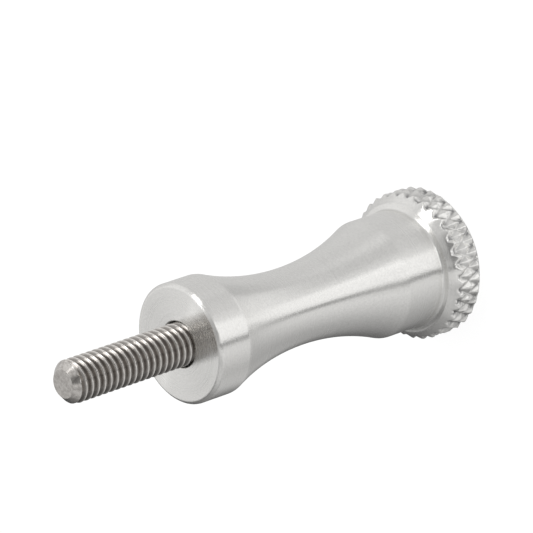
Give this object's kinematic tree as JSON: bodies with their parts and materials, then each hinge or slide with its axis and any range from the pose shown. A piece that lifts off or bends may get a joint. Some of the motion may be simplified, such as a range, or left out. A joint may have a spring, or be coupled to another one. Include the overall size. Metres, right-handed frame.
{
  "type": "knurled spool bolt",
  "caption": "Waisted aluminium spool with a diamond-knurled head, held on a socket head cap screw whose threaded end stands out of the small end.",
  "frame": {"origin": "centre of the knurled head's flat face, which the bolt stands on", "axes": "+Z along the common axis of the spool and the screw, towards the threaded end"},
  "size_m": [0.0276, 0.0276, 0.0889],
  "materials": {
    "turned_aluminium": "bright turned satin with fine rings",
    "stainless_steel": "plain rolled and turned, slightly warm grey"
  },
  "bodies": {
    "root": {"spool_body": "turned_aluminium", "cap_screw": "stainless_steel"}
  },
  "joints": []
}
